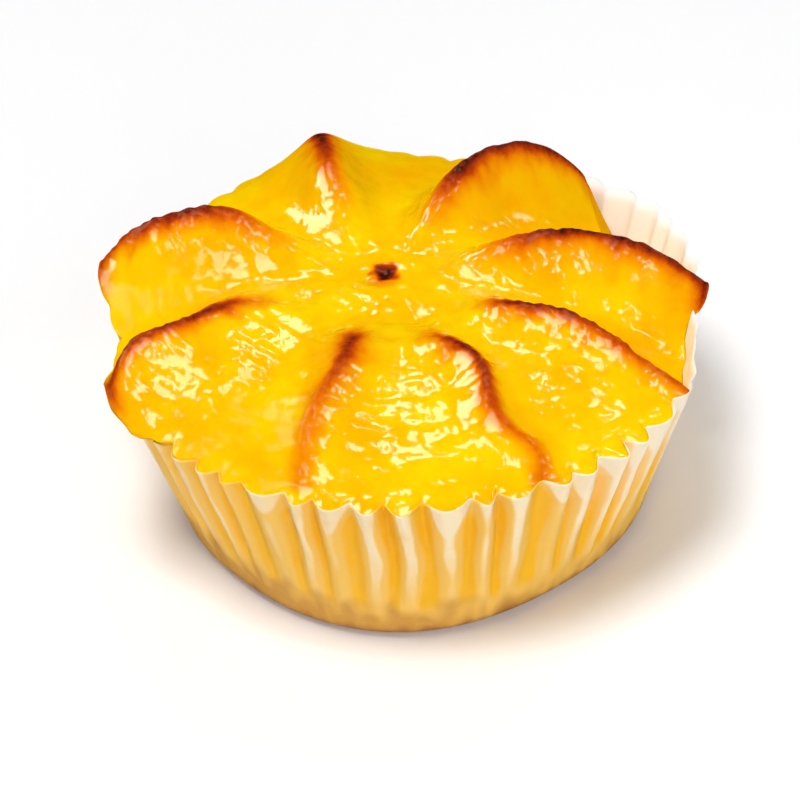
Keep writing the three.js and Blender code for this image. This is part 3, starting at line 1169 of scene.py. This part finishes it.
    def crest_distance(self, turn: Array, out: Array, points: Array) -> tuple[Array, Array]:
        """Distance from the nearest crest line, over the ground and down the flank together.

        Args:
            turn: places round the turn.
            out: column of places from the pole to the edge.
            points: the smooth top there.

        Returns:
            The distance, and the number of that ridge.
        """
        nearest, round_from = self.nearest_crest(turn)
        from_pole = np.hypot(points[..., 0] - self.pole_x, points[..., 1] - self.pole_y)
        crest = self.top_level(self.ridge_values("tip")[nearest], out)
        return np.hypot(round_from * from_pole, crest - points[..., 2]), nearest

    def crest_browning(self, turn: Array, out: Array, points: Array) -> Array:
        """Browning of the crests: a narrow dark line and a wider halo, each falling away from the crest.

        Args:
            turn: places round the turn.
            out: column of places from the pole to the edge.
            points: the smooth top there.

        Returns:
            The browning of each point, from 0 to 1.
        """
        distance, nearest = self.crest_distance(turn, out, points)
        x = points[..., 0]
        y = points[..., 1]
        patches = gradient_noise(x / self.browning_cell, y / self.browning_cell, Seed.BROWNING)
        speckle = gradient_noise(x / self.speckle_cell, y / self.speckle_cell, Seed.SPECKLE)
        uneven = patches + self.speckle_share * speckle
        distance = distance * (1.0 + self.browning_unevenness * uneven)

        start = self.ridge_values("start")[nearest]
        darkest = self.ridge_values("darkest")[nearest]
        end = self.ridge_values("end")[nearest]
        arrival = ease((out - start - self.browning_delay) / (darkest - start))
        leaving = ease((out - darkest) / (end - darkest))
        past_end = ease((out - end) / self.browning_tail)
        darkness = mix(self.ridge_values("darkness")[nearest],
                       self.ridge_values("tip_darkness")[nearest], leaving)
        halo = np.exp(-(distance / self.ridge_values("halo")[nearest]) ** self.halo_power)
        line = bell(distance, self.line_width)
        return arrival * (1.0 - past_end) * darkness * mix(halo, line, self.line_share)

    def edge_browning(self, turn: Array, out: Array) -> Array:
        """Browning of the lips near the ridges' tips, fading in from the edge and away from the tip.

        Args:
            turn: places round the turn.
            out: column of places from the pole to the edge.

        Returns:
            The browning of each point, from 0 to 1.
        """
        nearest, round_from = self.nearest_crest(turn)
        from_edge = (1.0 - out) * self.wall.rim_radius
        near_tip = bell(round_from * self.wall.rim_radius, self.border_reach)
        near = near_tip * np.exp(-from_edge / self.border_width)
        lip = self.lip_share(self.wall.bearing_at(turn))
        return self.ridge_values("tip_darkness")[nearest] * lip * near

    def pit_browning(self, points: Array) -> Array:
        """Browning of the pit: a ragged burnt mark with a reddish glow on its near side.

        Args:
            points: the smooth top.

        Returns:
            The browning of each point, from 0 to 1.
        """
        x = points[..., 0] - self.pole_x
        y = points[..., 1] - self.pole_y
        uneven = gradient_noise(x / self.burn_cell + HALF_CELL, y / self.burn_cell + HALF_CELL, Seed.PIT)
        ragged = 1.0 + self.burn_raggedness * uneven
        burnt = np.exp(-(np.hypot(x, y) * ragged / self.burn_radius) ** self.burn_power)
        glow = self.glow_browning * bell(np.hypot(x - self.glow_x, y - self.glow_y), self.glow_radius)
        return np.maximum(burnt, glow)

    def browning(self, turn: Array, out: Array, points: Array) -> Array:
        """How brown the top has baked: the most of crests, lips and pit.

        Args:
            turn: places round the turn.
            out: column of places from the pole to the edge.
            points: the smooth top there.

        Returns:
            The browning of each point, from 0 to 1.
        """
        crests = self.crest_browning(turn, out, points)
        lips = self.edge_browning(turn, out)
        pit = self.pit_browning(points)
        return np.clip(np.maximum(np.maximum(crests, lips), pit), 0.0, 1.0)

    def glaze(self, turn: Array, out: Array) -> Array:
        """How glossy the egg has dried, from 0 to 1: full near the pole, patchy towards the edge."""
        at_edge = round_turn(self.glazes, self.wall.bearing_at(turn))
        return mix(1.0, at_edge, ease((out - self.glaze_from) / self.glaze_change))

    def relief(self, turn: Array, out: Array, points: Array) -> Array:
        """Height of the uneven skin over the smooth top.

        Swells, lumps, dimples and brush marks that run round the pole, and a rough crust on the crests.
        Their patterns are slanted with height so that they don't stretch down the flanks, and fade at
        edge and pole.

        Args:
            turn: places round the turn.
            out: column of places from the pole to the edge.
            points: the smooth top there.

        Returns:
            The height along the normal.
        """
        slant = self.noise_slant * (points[..., 2] - self.pole_height)
        x = points[..., 0] - self.pole_x + slant
        y = points[..., 1] - self.pole_y + slant
        distance, nearest = self.crest_distance(turn, out, points)
        begun = ease((out - self.ridge_values("start")[nearest]) / self.crust_onset)
        crust = bell(distance, self.crust_width) * begun * self.crust.relief(x, y)
        skin = sum(grain.relief(x, y) for grain in self.grains) + crust
        towards_edge = mix(1.0, self.edge_unevenness, ease((out - self.calm_from) / self.calm_change))
        at_bearing = round_turn(self.unevenness, self.wall.bearing_at(turn))
        strength = towards_edge * mix(1.0, at_bearing, ease(out / self.unevenness_change))
        fade = ease((1.0 - out) / self.edge_fade) * ease(np.hypot(x, y) / self.pole_fade)
        return skin * strength * fade

    def edge_rings(self, turn: Array) -> Array:
        """The rolled edge: half an ellipse as thick as the lip, from the top round to the underside.

        Args:
            turn: places round the turn.

        Returns:
            The rings.
        """
        angle = self.wall.angle_at(turn)
        bearing = np.degrees(angle)
        radius = self.edge_radius(bearing) + self.flute_depth(turn)
        half = 0.5 * self.lip_depth(bearing)
        lip = self.lip_share(bearing)
        way = np.linspace(0.0, 1.0, self.lip_steps)[1:, None]
        roll = (0.5 - way) * np.pi
        bulge = lip * np.minimum(half, self.lip_bulge)
        inward = self.lip_undercut * lip * way
        height = self.edge_level(bearing) - half + half * np.sin(roll)
        return polar(radius + bulge * np.cos(roll) - inward, angle, height)

    def side_rings(self, turn: Array) -> Array:
        """Side of the filling, clear of the deepest folds, and the rounded corner to its bottom.

        Args:
            turn: places round the turn.

        Returns:
            The rings, going down.
        """
        angle = self.wall.angle_at(turn)
        bearing = np.degrees(angle)
        skin = self.wall.sheet + self.gap
        shoulder = self.edge_level(bearing) - self.lip_depth(bearing) - self.shoulder_drop
        height = shoulder * np.linspace(1.0, self.side_bottom, self.side_rows)[:, None]
        clear = self.wall.fold_reach * self.wall.fold_depth(turn, height) + skin
        side = polar(self.wall.wall_radius(bearing, height) - clear, angle, height)
        corner = self.wall.corner_points(turn, np.linspace(1.0, 0.0, self.corner_rows)[:, None], skin)
        return np.concatenate([side, corner])

    def build(self) -> bpy.types.Object:
        """Make the filling's mesh and dress it.

        Returns:
            The piece that stands for the filling's solid.
        """
        turn = self.wall.turns(self.points_per_pleat)
        out = np.linspace(0.0, 1.0, self.rings_out + 1)[1:, None]
        top = self.top_points(turn, out)
        browning = self.browning(turn, out, top)
        relief = self.relief(turn, out, top)
        skin = top + relief[..., None] * grid_normals(top)

        below = np.concatenate([self.edge_rings(turn), self.side_rings(turn)])
        under = browning[-1] * np.exp((below[..., 2] - top[-1, :, 2]) / self.under_fade)
        first = np.array([self.pole_x, self.pole_y, self.pole_height - self.pit_depth])
        last = np.array([0.0, 0.0, self.wall.sheet + self.gap])
        piece = closed_mesh("glazed_filling", first, np.concatenate([skin, below]), last)
        glaze = self.glaze(turn, out)
        glaze_under = np.broadcast_to(glaze[-1], under.shape)
        paint(piece, "browning", 1.0, np.concatenate([browning, under]), 0.0)
        paint(piece, "glaze", 1.0, np.concatenate([glaze, glaze_under]), 1.0)
        piece.data.materials.append(self.finish.material())
        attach(piece, Body.WHOLE.value)
        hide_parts(Node.FILLING.value)
        return piece


@dataclass(frozen=True)
class PaperCase:
    """The pleated paper case, a thin closed sheet with a flat base."""

    wall: CaseWall
    filling: CheeseFilling
    finish: GreasedBakingPaper = GreasedBakingPaper()
    points_per_pleat: int = 20
    rows_inside: int = 14
    rows_outside: int = 60
    corner_rows: int = 7

    # Rim and crumpled foot
    press_from: float = -0.7
    press_to: float = -0.2
    rim_unevenness: float = 0.3
    crumple_height: float = 0.16
    crumple_top: float = 9.0
    crumple_fade: float = 4.0
    crumple_above: float = 0.4
    crumple_bottom: float = 1.25
    crumple_onset: float = 2.5
    crumple_cells: int = 72
    crumple_cell: float = 2.2

    # Stains of the food
    patches_per_pleat: int = 2
    patch_cell: float = 4.0
    tone_cell: float = 9.0
    capped_base: float = 0.4
    capped_gain: float = 1.4
    arch_height: float = 4.0
    arch_spread: float = 2.5
    base_bands: Pairs = ((0, 3.5), (90, 6.0), (210, 8.5), (255, 7.5), (300, 4.5))
    pale_widths: Pairs = ((0, 0.3), (180, 0.15), (250, 0.2), (285, 0.26), (315, 0.32))
    pale_depth: float = 15.0
    pale_raggedness: float = 0.15
    pale_softness: float = 0.25
    hollow_from: float = 0.55
    hollow_unevenness: float = 0.2
    hollow_softness: float = 0.3
    contact_from: float = 3.5
    contact_change: float = 3.0
    faint_contact: float = 0.4
    dry_contact_loss: float = 0.7
    band_raggedness: float = 3.0
    band_softness: float = 5.0
    foot_height: float = 2.2
    foot_softness: float = 2.0
    foot_darkness: float = 0.8
    dry_depth: float = 9.0
    dry_gain: float = 1.8
    fade_end: float = 1.3
    contrasts: Pairs = ((0, 1.0), (90, 0.6), (200, 0.5), (245, 0.75), (285, 1.1), (335, 1.2))
    dry_patches: Pairs = (
        (0, 0.6), (15, 1.0), (60, 1.0), (85, 0.2), (180, 0.0), (290, 0.0), (322, 0.15), (340, 0.4),
    )

    def rim_level(self, turn: Array) -> Array:
        """Cut edge of the paper, pressed down where the filling has run over it.

        Args:
            turn: places round the turn.

        Returns:
            The height over the base.
        """
        bearing = self.wall.bearing_at(turn)
        overhang = self.filling.overhang(bearing)
        pressed = ease((overhang - self.press_from) / (self.press_to - self.press_from))
        underside = self.filling.edge_level(bearing) - self.filling.lip_depth(bearing)
        covered = np.minimum(self.wall.rim_height, underside - self.wall.sheet - self.filling.gap)
        uneven = self.rim_unevenness * self.wall.pleat_noise(turn, Seed.RIM)
        return mix(self.wall.rim_height + np.minimum(uneven, 0.0), covered, pressed)

    def skin(self, turn: Array, inset: float, rows: int) -> Array:
        """One face of the paper, from the flat base round the corner and up the pleats.

        Args:
            turn: places round the turn.
            inset: how far inside the outer face it lies.
            rows: number of rings up the wall.

        Returns:
            The rings going up.
        """
        angle = self.wall.angle_at(turn)
        bearing = np.degrees(angle)
        corner = self.wall.corner_points(turn, np.linspace(0.0, 1.0, self.corner_rows)[:, None], inset)
        fraction = np.linspace(0.0, 1.0, rows + 1)[1:, None]
        height = mix(corner[-1, :, 2], self.rim_level(turn), fraction)
        radius = self.wall.wall_radius(bearing, height) + self.wall.fold_offset(turn, height) - inset
        low = ease((self.crumple_top - height) / self.crumple_fade)
        begun = ease((height - self.crumple_bottom) / self.crumple_onset)
        crumple = gradient_noise(
            turn * self.crumple_cells, height / self.crumple_cell, Seed.CRUMPLE, self.crumple_cells)
        creased = self.crumple_height * mix(self.crumple_above, 1.0, low) * begun * crumple
        return np.concatenate([corner, polar(radius + creased, angle, height)])

    def near_rim(self, below_rim: Array, depth: float) -> Array:
        """1 at the rim, fading to 0 a little further below it than a depth."""
        return ease(self.fade_end - below_rim / depth)

    def stains(self, turn: Array, height: Array) -> dict[str, Array]:
        """How the paper has been marked by the food, with a painted highlight on the outer folds.

        Fat soaks the paper where it touches the filling, most in the hollows of the folds. Along each outer
        fold runs a whitish line, partly paper that the fat hasn't reached and partly a painted highlight on
        the fold's crest, which in some pleats widens to a cap at the rim. The base is tan, its foot the
        darkest, and the paper that stands free of the filling has stayed dry.

        Args:
            turn: places round the turn.
            height: height of each point.

        Returns:
            For each attribute of the finish, its value at each point, from 0 for none to 1 or more for full.
        """
        bearing = self.wall.bearing_at(turn)
        below_rim = self.rim_level(turn) - height
        patches = self.patches_per_pleat * self.wall.pleats
        patch = gradient_noise(turn * patches, height / self.patch_cell, Seed.STAIN, patches)
        tone = self.wall.pleat_noise(turn, Seed.ARCH, height / self.tone_cell)
        fold = self.wall.fold_wave(turn, height)
        from_crest = np.arccos(np.clip(0.5 * (fold + 1.0), 0.0, 1.0)) / (0.5 * np.pi)
        capped = ease(self.capped_base + self.capped_gain * self.wall.pleat_noise(turn, Seed.STAIN))
        arch = self.arch_height + self.arch_spread * tone
        cap = capped * (1.0 - np.clip(below_rim / arch, 0.0, 1.0))
        # Whitish line along each outer fold: paper the fat hasn't reached, with a painted highlight on the
        # fold's crest
        width = round_turn(self.pale_widths, bearing) + self.pale_raggedness * patch + cap
        pale_and_highlight = ease((width - from_crest) / self.pale_softness + 0.5)
        hollow_edge = self.hollow_from + self.hollow_unevenness * tone + cap
        hollow = ease((from_crest - hollow_edge) / self.hollow_softness)
        dry = round_turn(self.dry_patches, bearing)
        contrast = round_turn(self.contrasts, bearing)
        wetted = mix(self.faint_contact, 1.0, contrast) * (1.0 - self.dry_contact_loss * dry)
        above_base = ease((height - self.contact_from) / self.contact_change)
        band = round_turn(self.base_bands, bearing) + self.band_raggedness * patch
        foot = ease((self.foot_height + patch - height) / self.foot_softness)
        return {
            "crease_and_highlight": pale_and_highlight * self.near_rim(below_rim, self.pale_depth) * contrast,
            "contact": hollow * wetted * above_base,
            "baked": ease((band - height) / self.band_softness),
            "foot": self.foot_darkness * foot,
            "dryness": self.dry_gain * dry * self.near_rim(below_rim, self.dry_depth),
        }

    def build(self) -> bpy.types.Object:
        """Make the case's mesh and dress it.

        Returns:
            The piece that stands for the case's solid.
        """
        turn = self.wall.turns(self.points_per_pleat)
        inside = self.skin(turn, self.wall.sheet, self.rows_inside)
        outside = self.skin(turn, 0.0, self.rows_outside)
        rings = np.concatenate([inside, outside[::-1]])
        first = np.array([0.0, 0.0, self.wall.sheet])
        piece = closed_mesh("pleated_case", first, rings, np.zeros(3))
        for name, values in self.stains(turn, rings[..., 2]).items():
            paint(piece, name, values[0].mean(), values, values[-1].mean())
        piece.data.materials.append(self.finish.material())
        piece.visible_glossy = False
        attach(piece, Body.WHOLE.value)
        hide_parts(Node.CASE.value)
        return piece


@dataclass(frozen=True)
class Softbox:
    """A square studio light, by default a window that shows in highlights.

    The bearing and elevation it shines from, its side and distance in metres, its brightness, what it
    shows in, and the tint that it has as a window.
    """

    name: str
    bearing: float
    elevation: float
    side: float
    distance: float = 0.8
    radiance: float = 19.0
    reach: Reach = Reach.GLOSS
    window_tint: str = "#FFF7DE"

    def build(self, target: Vector) -> bpy.types.Object:
        """Place the light so that it faces the target.

        Args:
            target: point in metres.

        Returns:
            The light.
        """
        light = bpy.data.lights.new(self.name, "AREA")
        light.shape = "SQUARE"
        light.size = self.side
        light.energy = self.radiance * math.pi * self.side ** 2
        if self.reach is Reach.GLOSS:
            light.color = linear(self.window_tint)[:3]
        turn = math.radians(self.bearing)
        climb = math.radians(self.elevation)
        away = Vector((math.cos(climb) * math.cos(turn), math.cos(climb) * math.sin(turn), math.sin(climb)))
        made = link_object(self.name, light)
        made.location = target + away * self.distance
        made.rotation_euler = away.to_track_quat("Z", "Y").to_euler()
        made.visible_diffuse = self.reach is Reach.MATTE
        made.visible_glossy = self.reach is Reach.GLOSS
        return made


@dataclass(frozen=True)
class Studio:
    """White table, soft lights and the camera."""

    floor_side: float = 6.0
    surroundings: str = "#FFFFFF"
    fill: float = 0.03
    softboxes: tuple[Softbox, ...] = (
        Softbox("left_key", 229.0, 74.0, 0.24, 0.7, 20.0, Reach.MATTE),
        Softbox("front_fill", -72.0, 28.0, 1.0, 1.2, 1.65, Reach.MATTE),
        Softbox("back_fill", 74.0, 40.0, 1.0, 1.2, 1.3, Reach.MATTE),
        Softbox("right_card", -22.0, 16.0, 0.8, 1.2, 1.0, Reach.MATTE),
        Softbox("left_card", 205.0, 18.0, 0.8, 1.2, 1.0, Reach.MATTE),
        Softbox("left_window", 246.0, 57.0, 0.38),
        Softbox("low_left_window", 160.0, 29.0, 0.48),
        Softbox("front_window", 272.0, 43.0, 0.1),
        Softbox("low_front_window", 284.0, 13.0, 0.14),
        Softbox("corner_window", 235.0, 29.0, 0.11),
        Softbox("high_window", 47.0, 64.0, 0.12),
        Softbox("far_window", 101.0, 66.0, 0.3),
        Softbox("right_window", 338.0, 44.0, 0.14),
        Softbox("side_window", 10.0, 29.0, 0.12),
    )
    finish: WhiteCard = WhiteCard()
    camera_distance: float = 550.0
    camera_elevation: float = 37.78
    camera_roll: float = -3.44
    camera_aim: tuple[float, float, float] = (-1.23, 0.0, 10.97)
    lens: float = 220.35
    sensor: float = 36.0

    def build_floor(self) -> bpy.types.Object:
        """Lay the table at the height of the case's base.

        Returns:
            The floor.
        """
        half = 0.5 * self.floor_side
        mesh = bpy.data.meshes.new("table")
        corners = [(-half, -half, 0.0), (half, -half, 0.0), (half, half, 0.0), (-half, half, 0.0)]
        mesh.from_pydata(corners, [], [(0, 1, 2, 3)])
        mesh.materials.append(self.finish.material())
        floor = link_object("table", mesh)
        floor.visible_glossy = False
        return floor

    def build_lights(self) -> None:
        """Set the white surroundings and the softboxes."""
        scene = bpy.context.scene
        world = bpy.data.worlds.new("white_surroundings")
        world.use_nodes = True
        background = world.node_tree.nodes["Background"]
        background.inputs["Color"].default_value = linear(self.surroundings)
        background.inputs["Strength"].default_value = self.fill
        world.cycles_visibility.glossy = False
        scene.world = world
        scene.view_settings.view_transform = "Standard"
        for softbox in self.softboxes:
            softbox.build(Vector(self.camera_aim) * MM)

    def build_camera(self) -> bpy.types.Object:
        """Place the camera at the viewing angle, turned a little about its own line of sight.

        Returns:
            The camera.
        """
        data = bpy.data.cameras.new("camera")
        data.lens = self.lens
        data.sensor_width = self.sensor
        climb = math.radians(self.camera_elevation)
        back = Vector((0.0, -math.cos(climb), math.sin(climb)))
        side = Vector((1.0, 0.0, 0.0))
        rest = Matrix((side, back.cross(side), back)).transposed().to_4x4()
        turned = rest @ Matrix.Rotation(math.radians(self.camera_roll), 4, "Z")
        eye = (Vector(self.camera_aim) + back * self.camera_distance) * MM
        camera = link_object("camera", data)
        camera.matrix_world = Matrix.Translation(eye) @ turned
        bpy.context.scene.camera = camera
        return camera


def main() -> None:
    """Build the tartlet and its studio in order, and report each piece."""
    logging.basicConfig(level=logging.INFO, format="%(message)s")
    wall = CaseWall()
    filling = CheeseFilling(wall)
    case = PaperCase(wall, filling)
    for piece in (filling.build(), case.build()):
        LOG.info("%s: %d points, %d faces", piece.name, len(piece.data.vertices), len(piece.data.polygons))
    studio = Studio()
    studio.build_floor()
    studio.build_lights()
    studio.build_camera()


if __name__ == "__main__":
    main()
